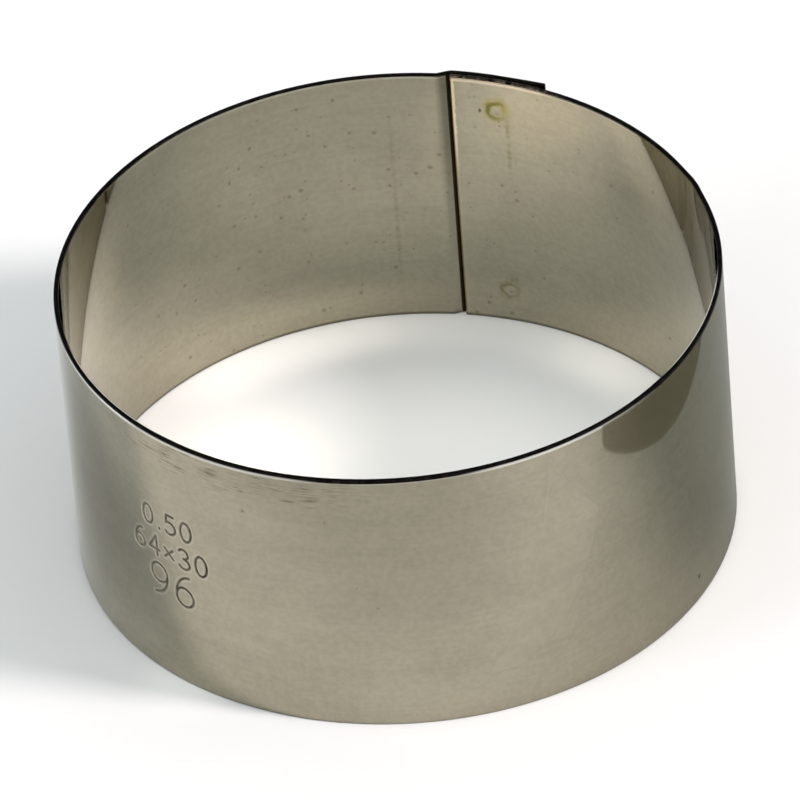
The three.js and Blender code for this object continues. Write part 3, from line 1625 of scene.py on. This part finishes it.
    def press(self, run: Array, through: Array, height: Array) -> tuple[Array, Array]:
        """Presses the stamp and the electrode prints into the flat strip's faces.

        Args:
            run: place of each point along the strip.
            through: its place through the sheet.
            height: its height.

        Returns:
            Its new place through the sheet, and the struck figures' marks there: dirt and painted shade below
            0, a painted highlight above 0.
        """
        pressed = through.copy()
        struck = np.zeros_like(through)
        reach, low, high = self.stamp.window()
        right = self.line.run_at(self.stamp.angle) - run
        stamped = self.on_face(through, Side.OUTSIDE) & (np.abs(right) < reach)
        stamped &= (height > low) & (height < high)
        away = self.stamp.away(right[stamped], height[stamped])
        pressed[stamped] += self.stamp.relief(away, right[stamped])
        struck[stamped] = self.stamp.marking(away, right[stamped])
        for mark in self.marks():
            under = self.on_face(through, mark.side) & (mark.distance(run, height) < 2 * mark.reach())
            pressed[under] += mark.side.value * mark.relief(run[under], height[under])
        return pressed, struck

    def soften_ends(self, run: Array, through: Array, height: Array) -> tuple[Array, Array]:
        """Rounds the strip's two cut ends, most on the face that the shear rolled over.

        At a distance d from an end, the face on that side draws back by r - sqrt(r^2 - (r - d)^2) for the
        roll r, and the other face and both rims by a lesser share of it.

        Args:
            run: place of each point along the strip.
            through: its place through the sheet.
            height: its height.

        Returns:
            The new place through the sheet and the new height.
        """
        away = np.clip(np.minimum(run, self.line.length - run), 0, self.end_roll)
        drawn = self.end_roll - np.sqrt(self.end_roll**2 - (self.end_roll - away) ** 2)
        inner_end = run < self.line.length / 2
        rolled = np.where(inner_end, through < 0, through > 0)
        share = np.abs(through) / (self.line.sheet / 2)
        through = through - np.sign(through) * share * drawn * np.where(rolled, 1, self.lesser_roll)
        middle = self.height / 2
        height = middle + (height - middle) * (1 - self.lesser_roll * drawn / middle)
        return through, height

    def wave(self, angle: Array, height: Array) -> Array:
        """Works out how far the ring is out of round.

        It is the sum of a few cosines of the angle, which grows evenly from the lower rim to the upper one,
        and one small kink, a bell curve of the angle that rises towards the upper rim.

        Args:
            angle: each point's angle from +X.
            height: its height.

        Returns:
            The distances outwards.
        """
        share = height / self.height
        lower, upper = self.wave_shares
        total = np.zeros_like(angle)
        for count, size, shift in self.waves:
            total += size * np.cos(count * angle + shift) * (lower + (upper - lower) * share)
        apart = (angle - self.kink_angle + math.pi) % TURN - math.pi
        return total + self.kink * np.exp(-((apart / self.kink_width) ** 2)) * smooth(share, *self.kink_rise)

    def lean_seam(self, plan: Array, height: Array) -> Array:
        """Turns points near the seam about the ring's axis: the strip's end was cut a little out of square.

        The shift along the strip grows evenly from the lower rim to the upper one. It falls off with the
        angle from the seam as a bell curve, e to the power of minus the angle over the width, squared.

        Args:
            plan: the points in plan.
            height: their heights.

        Returns:
            The turned points in plan.
        """
        lower, upper = self.lean
        apart = (np.arctan2(plan[:, 1], plan[:, 0]) - self.line.start_angle + math.pi) % TURN - math.pi
        shift = (lower + (upper - lower) * height / self.height) * np.exp(-((apart / self.lean_width) ** 2))
        turn = -shift / self.line.outer_radius
        cosine, sine = np.cos(turn), np.sin(turn)
        across, along = plan.T
        return np.column_stack([across * cosine - along * sine, across * sine + along * cosine])

    def finish_faces(self, mesh: Mesh, run: Array, through: Array, height: Array) -> None:
        """Gives the cut edges their own finish: both rims, the upper one with a band of the outside below it,
        and both ends. The band takes the edge's near-black painted reflection.

        Args:
            mesh: the flat strip.
            run: place of each point along it.
            through: its place through the sheet.
            height: its height.
        """
        corners = np.empty(len(mesh.loops), np.int32)
        mesh.loops.foreach_get("vertex_index", corners)
        starts = np.empty(len(mesh.polygons), np.int32)
        mesh.polygons.foreach_get("loop_start", starts)
        below = self.height - height
        rim = (below < self.upper_cut * self.edge_down) | (height < self.lower_cut * self.edge_down)
        # A band of the outside below the upper rim takes the edge finish, a painted dark reflection.
        rim |= (through > 0) & (below < self.dark_rim_band)
        end = np.abs(run - self.line.length / 2) > self.line.length / 2 - TINY
        cut = np.logical_and.reduceat(rim[corners], starts) | np.logical_and.reduceat(end[corners], starts)
        finish = np.where(cut, Surface.EDGE.value, Surface.WALL.value).astype(np.int32)
        mesh.polygons.foreach_set("material_index", finish)
        mesh.polygons.foreach_set("use_smooth", np.ones(len(starts), bool))

    def build(self) -> bpy.types.Object:
        """Builds the band: the flat strip refined, pressed, rounded at its ends, rolled and put out of round.

        Returns:
            The band.
        """
        mesh = self.flat_mesh()
        self.refine(mesh)
        flat = np.empty(len(mesh.vertices) * 3, np.float32)
        mesh.vertices.foreach_get("co", flat)
        mesh.attributes.new(STRIP_PLACE, "FLOAT_VECTOR", "POINT").data.foreach_set("vector", flat)
        run, through, height = flat.reshape(-1, 3).astype(float).T
        self.finish_faces(mesh, run, through, height)
        pressed, struck = self.press(run, through, height)
        mesh.attributes.new(STRUCK, "FLOAT", "POINT").data.foreach_set("value", struck.astype(np.float32))
        pressed, raised = self.soften_ends(run, pressed, height)
        plan = self.line.roll(run, pressed)
        plan *= 1 + (self.wave(self.line.angle_at(run), raised) / np.linalg.norm(plan, axis=1))[:, None]
        plan = self.lean_seam(plan, raised)
        mesh.vertices.foreach_set("co", np.column_stack([plan, raised]).astype(np.float32).ravel())
        mesh.update()
        mesh.validate()
        return put_in_scene("band", mesh)

    def dress(self, band: bpy.types.Object) -> None:
        """Gives the band its finishes and ties it to the frame.

        Args:
            band: the band.
        """
        marked = (self.scratched, self.highlight_lines)
        steel = RolledSteel(self.line, self.height, self.marks(), self.spots, self.drips, *marked)
        edge = ShearedEdge(self.line, self.height, self.highlight_lines, self.highlighted_corners)
        band.data.materials.append(steel.material())
        band.data.materials.append(edge.material())
        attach(band, BODY)
        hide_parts("ring_band")


@dataclass
class WeldCores:
    """The fused cores of the two spot welds, between the laps."""

    nodes: tuple[str, ...] = ("upper_spot_weld", "lower_spot_weld")

    def centre(self, node: str) -> Vector:
        """Gives the middle of a core."""
        low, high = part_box(node)
        return (low + high) / 2

    def angle(self) -> float:
        """Gives the angle of the weld line."""
        centre = self.centre(self.nodes[0])
        return math.atan2(centre.y, centre.x)

    def heights(self) -> tuple[float, ...]:
        """Gives the heights of the welds, upper first."""
        return tuple(self.centre(node).z for node in self.nodes)

    def dress(self) -> None:
        """Gives the cores their finish."""
        material = FusedSteel().material()
        for node in self.nodes:
            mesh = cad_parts[node].data
            mesh.materials.clear()
            mesh.materials.append(material)


# The studio


def bare_lamp(name: str, kind: str, light: Colour, strength: float) -> bpy.types.Light:
    """Makes a lamp of a colour.

    Args:
        name: the lamp's name.
        kind: Blender's name for its type.
        light: its light as a share of white on the floor, in red, green and blue.
        strength: what a share of one takes.

    Returns:
        The lamp.
    """
    lamp = bpy.data.lights.new(name, kind)
    strongest = max(light)
    lamp.color = tuple(part / strongest for part in light)
    lamp.energy = strength * strongest
    return lamp


@dataclass(frozen=True)
class Lamp:
    """A far, soft lamp: where it stands, how wide it looks and its share of the light on the floor."""

    name: str
    azimuth: float
    elevation: float
    width: float
    light: Colour

    def build(self) -> None:
        """Makes the lamp, with the strength that gives the floor its share of white."""
        azimuth, elevation = math.radians(self.azimuth), math.radians(self.elevation)
        lamp = bare_lamp(self.name, "SUN", self.light, math.pi / math.sin(elevation))
        lamp.angle = math.radians(self.width)
        towards = Vector((math.cos(azimuth), math.sin(azimuth), 0)) * math.cos(elevation)
        towards.z = math.sin(elevation)
        put_in_scene(self.name, lamp).rotation_euler = towards.to_track_quat("Z", "Y").to_euler()


@dataclass(frozen=True)
class Pool:
    """A soft pool of light on the floor, from a lamp straight above it."""

    name: str
    middle: Pair
    radius: float
    light: Colour
    blend: float = 1.0
    above: float = 0.6
    lamp_radius: float = 2 * MM

    def build(self) -> None:
        """Makes a soft spot lamp straight above the pool."""
        lamp = bare_lamp(self.name, "SPOT", self.light, 4 * math.pi**2 * self.above**2)
        lamp.spot_size = 2 * math.atan(self.radius / self.above)
        lamp.spot_blend = self.blend
        lamp.shadow_soft_size = self.lamp_radius
        put_in_scene(self.name, lamp).location = (*self.middle, self.above)


@dataclass(frozen=True)
class View:
    """The camera: its angles, its distance from the ring's middle, its lens and how far the ring lies off."""

    elevation: float = 38.153
    roll: float = -4.787
    distance: float = 1128.3 * MM
    focal_pixels: float = 11526.9
    picture_pixels: float = 800
    sensor: float = 36.0
    right: float = -0.217 * MM
    up: float = 0.590 * MM
    clip: Pair = (0.1, 100)

    def build(self, middle: Vector) -> None:
        """Makes the camera and looks through it.

        Args:
            middle: the ring's middle.
        """
        elevation, roll = math.radians(self.elevation), math.radians(self.roll)
        back = Vector((0, -math.cos(elevation), math.sin(elevation)))
        level = Vector((1, 0, 0))
        right = level * math.cos(roll) + back.cross(level) * math.sin(roll)
        up = back.cross(right)
        lens = bpy.data.cameras.new("view")
        lens.sensor_width = self.sensor
        lens.lens = self.focal_pixels / self.picture_pixels * self.sensor
        lens.clip_start, lens.clip_end = (share * self.distance for share in self.clip)
        camera = put_in_scene("view", lens)
        place = middle - right * self.right - up * self.up + back * self.distance
        camera.matrix_world = Matrix.Translation(place) @ Matrix((right, up, back)).transposed().to_4x4()
        bpy.context.scene.camera = camera


@dataclass(frozen=True)
class Card:
    """Dark card on the floor beside the ring, out of the picture, that shows only in the steel.

    It is a rectangle with rounded corners, turned in plan. Its edge may be soft, and it is cut away under
    the ring. The shade cards are painted shade on the floor, which only the steel's reflection shows.
    """

    name: str
    middle: Pair
    half: Pair
    turn: float
    soft: float
    cover: float
    colour: Colour = (0.01, 0.01, 0.01)
    lift: float = 0.01 * MM
    squareness: float = 6.0
    clear: float = 32.5 * MM

    def mesh(self) -> Mesh:
        """Makes the card's sheet: the corners at plus and minus the half sizes, turned and moved.

        Returns:
            The mesh.
        """
        cosine, sine = math.cos(math.radians(self.turn)), math.sin(math.radians(self.turn))
        corners = np.array([[-1, -1], [1, -1], [1, 1], [-1, 1]]) * self.half
        plan = corners @ np.array([[cosine, sine], [-sine, cosine]]) + self.middle
        mesh = bpy.data.meshes.new(self.name)
        mesh.from_pydata(np.column_stack([plan, np.full(4, self.lift)]).tolist(), [], [[0, 1, 2, 3]])
        return mesh

    def material(self) -> Material:
        """Wires the card's cover: full inside a superellipse, fading over the soft width at its edge.

        Returns:
            The material.
        """
        made = bare_material(self.name)
        wiring = Wiring(made.node_tree)
        place = wiring.add("ShaderNodeTexCoord").outputs["Object"]
        inputs = {
            "Vector": place,
            "Location": (*self.middle, 0.0),
            "Rotation": (0.0, 0.0, math.radians(self.turn)),
            "Scale": (*self.half, 1.0),
        }
        mapped = wiring.add("ShaderNodeMapping", inputs, vector_type="TEXTURE").outputs[0]
        plan = wiring.parts(mapped)[:2]
        powers = [wiring.math("POWER", wiring.math("ABSOLUTE", part), self.squareness) for part in plan]
        share = wiring.math("POWER", wiring.math("ADD", *powers), 1 / self.squareness)
        fade = wiring.between(share, 1.0, 1 - self.soft / min(self.half), (0.0, self.cover))
        away = wiring.vector("LENGTH", place, output="Value")
        alpha = wiring.product(fade, wiring.math("GREATER_THAN", away, self.clear))
        wiring.surface({"Base Color": (*self.colour, 1.0), "Roughness": 1.0, "Alpha": alpha})
        return made

    def build(self) -> None:
        """Lays the card on the floor."""
        mesh = self.mesh()
        mesh.materials.append(self.material())
        laid = put_in_scene(self.name, mesh)
        laid.visible_camera = laid.visible_diffuse = laid.visible_shadow = laid.visible_transmission = False


@dataclass
class Studio:
    """Pale floor, soft lamps, cards and the camera."""

    floor_colour: Colour = (0.93, 0.93, 0.93)
    floor_radii: tuple[float, ...] = (6.0, 1.0, 0.4, 0.1, 0.02)
    floor_spokes: int = 64
    floor_drop: float = 0.02 * MM
    floor_roughness: float = 0.9
    floor_shine: float = 0.1
    horizon: float = 0.8
    ceiling: float = 0.04
    horizon_top: Pair = (0.24, 0.42)
    lamps: tuple[Lamp, ...] = (
        Lamp("key", -19.3, 35.6, 11, (0.41, 0.375, 0.37)),
        Lamp("fill", 201, 29, 20, (0.07, 0.075, 0.08)),
        Lamp("overhead", -90, 84, 80, (0.365, 0.39, 0.39)),
        Lamp("top", -90, 89, 6, (0.14, 0.14, 0.14)),
    )
    pools: tuple[Pool, ...] = (
        Pool("top_light", (0.0, -4.5 * MM), 33.5 * MM, (0.21, 0.20, 0.18), 0.85),
        Pool("gathered_light", (-15.5 * MM, 10 * MM), 10 * MM, (0.19, 0.155, 0.09)),
        Pool("front_foot_light", (-22.5 * MM, -23.5 * MM), 6 * MM, (0.12, 0.115, 0.105)),
    )
    foot_radius: float = 29.8 * MM
    foot_width: float = 4.2 * MM
    foot_tint: Colour = (1.0, 0.92, 0.78)
    foot_angles: Pair = (129, 33)
    foot_shares: tuple[float, ...] = (
        0.12, 0.15, 0.18, 0.23, 0.23, 0.11, 0.09, 0.06, 0.05, 0.1, 0.17, 0.18, 0.1,
    )
    cards: tuple[Card, ...] = (
        Card(
            "right_card",
            middle=(60 * MM, -9 * MM),
            half=(5.5 * MM, 29.5 * MM),
            turn=-7.2,
            soft=0.2 * MM,
            cover=0.58,
            colour=(0.09, 0.07, 0.01),
            lift=0.02 * MM,
            squareness=12.0,
        ),
        Card(
            "right_shade",
            middle=(74 * MM, 20.5 * MM),
            half=(80 * MM, 80 * MM),
            turn=-25,
            soft=41.7 * MM,
            cover=0.65,
            colour=(0.0, 0.03, 0.0),
        ),
        Card(
            "left_shade",
            middle=(-45 * MM, 1 * MM),
            half=(14 * MM, 34 * MM),
            turn=17,
            soft=11 * MM,
            cover=0.32,
            squareness=2.5,
        ),
        Card(
            "front_shade",
            middle=(-14 * MM, -78 * MM),
            half=(56 * MM, 42 * MM),
            turn=0,
            soft=24 * MM,
            cover=0.2,
            squareness=4.0,
        ),
    )
    view: View = View()

    def floor_mesh(self) -> Mesh:
        """Makes the floor: a flat disc of rings and spokes, from the rim inwards, closed in the middle.

        Returns:
            The mesh.
        """
        angle = np.linspace(0, TURN, self.floor_spokes + 1)[:-1]
        radii = np.array(self.floor_radii)
        plan = (radii[:, None, None] * np.stack([np.cos(angle), np.sin(angle)], axis=1)).reshape(-1, 2)
        points = np.column_stack([plan, np.full(len(plan), -self.floor_drop)])
        index = np.arange(len(plan)).reshape(len(radii), -1)
        following = np.roll(index, -1, axis=1)
        quads = np.stack([index[:-1], following[:-1], following[1:], index[1:]], axis=2).reshape(-1, 4)
        mesh = bpy.data.meshes.new("floor")
        mesh.from_pydata(points.tolist(), [], quads.tolist() + [index[-1].tolist()])
        return mesh

    def floor(self) -> None:
        """Lays the floor."""
        mesh = self.floor_mesh()
        material = bare_material("pale_floor")
        inputs = {"Base Color": (*self.floor_colour, 1.0), "Roughness": self.floor_roughness}
        Wiring(material.node_tree).surface({**inputs, "Specular IOR Level": self.floor_shine})
        mesh.materials.append(material)
        floor = put_in_scene("floor", mesh)

    def room(self) -> None:
        """Makes the room round the lamps: pale walls low down and a dark ceiling."""
        world = bpy.data.worlds.new("room")
        world.use_nodes = True
        wiring = Wiring(world.node_tree)
        towards = wiring.add("ShaderNodeTexCoord").outputs["Generated"]
        up = wiring.parts(towards)[2]
        level = wiring.between(up, *self.horizon_top, (self.horizon, self.ceiling))
        room = wiring.add("ShaderNodeBackground", {"Color": (1.0, 1.0, 1.0, 1.0), "Strength": level})
        wiring.add("ShaderNodeOutputWorld", {"Surface": room.outputs[0]})
        bpy.context.scene.world = world

    def gathered_row(self) -> list[Pool]:
        """Spreads the row of small pools that the curved steel gathers along the back wall's foot.

        Returns:
            One pool for each share, at even angles and all at one distance from the ring's axis.
        """
        row = []
        angles = np.radians(np.linspace(*self.foot_angles, len(self.foot_shares)))
        for number, (angle, share) in enumerate(zip(angles, self.foot_shares)):
            middle = (self.foot_radius * math.cos(angle), self.foot_radius * math.sin(angle))
            light = tuple(share * part for part in self.foot_tint)
            row.append(Pool(f"foot_light_{number}", middle, self.foot_width, light))
        return row

    def build(self, middle: Vector) -> None:
        """Sets up the floor, the room, the lamps, the cards and the camera.

        Args:
            middle: the ring's middle.
        """
        self.floor()
        self.room()
        for piece in (*self.lamps, *self.pools, *self.gathered_row(), *self.cards):
            piece.build()
        self.view.build(middle)
        bpy.context.scene.view_settings.view_transform = "Standard"


def main() -> None:
    """Builds the ring's pieces and the studio in order."""
    logging.basicConfig(level=logging.INFO, format="%(name)s: %(message)s")
    low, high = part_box("ring_band")
    welds = WeldCores()
    line = StripLine(outer_radius=(high.x - low.x) / 2, weld_angle=welds.angle())
    ring = RingBand(line, high.z - low.z, welds.heights())
    band = ring.build()
    ring.dress(band)
    log.info("band: %d points, %d faces", len(band.data.vertices), len(band.data.polygons))
    welds.dress()
    log.info("weld cores: %s", ", ".join(welds.nodes))
    Studio().build((low + high) / 2)
    log.info("studio: floor, lamps and camera")


if __name__ == "__main__":
    main()
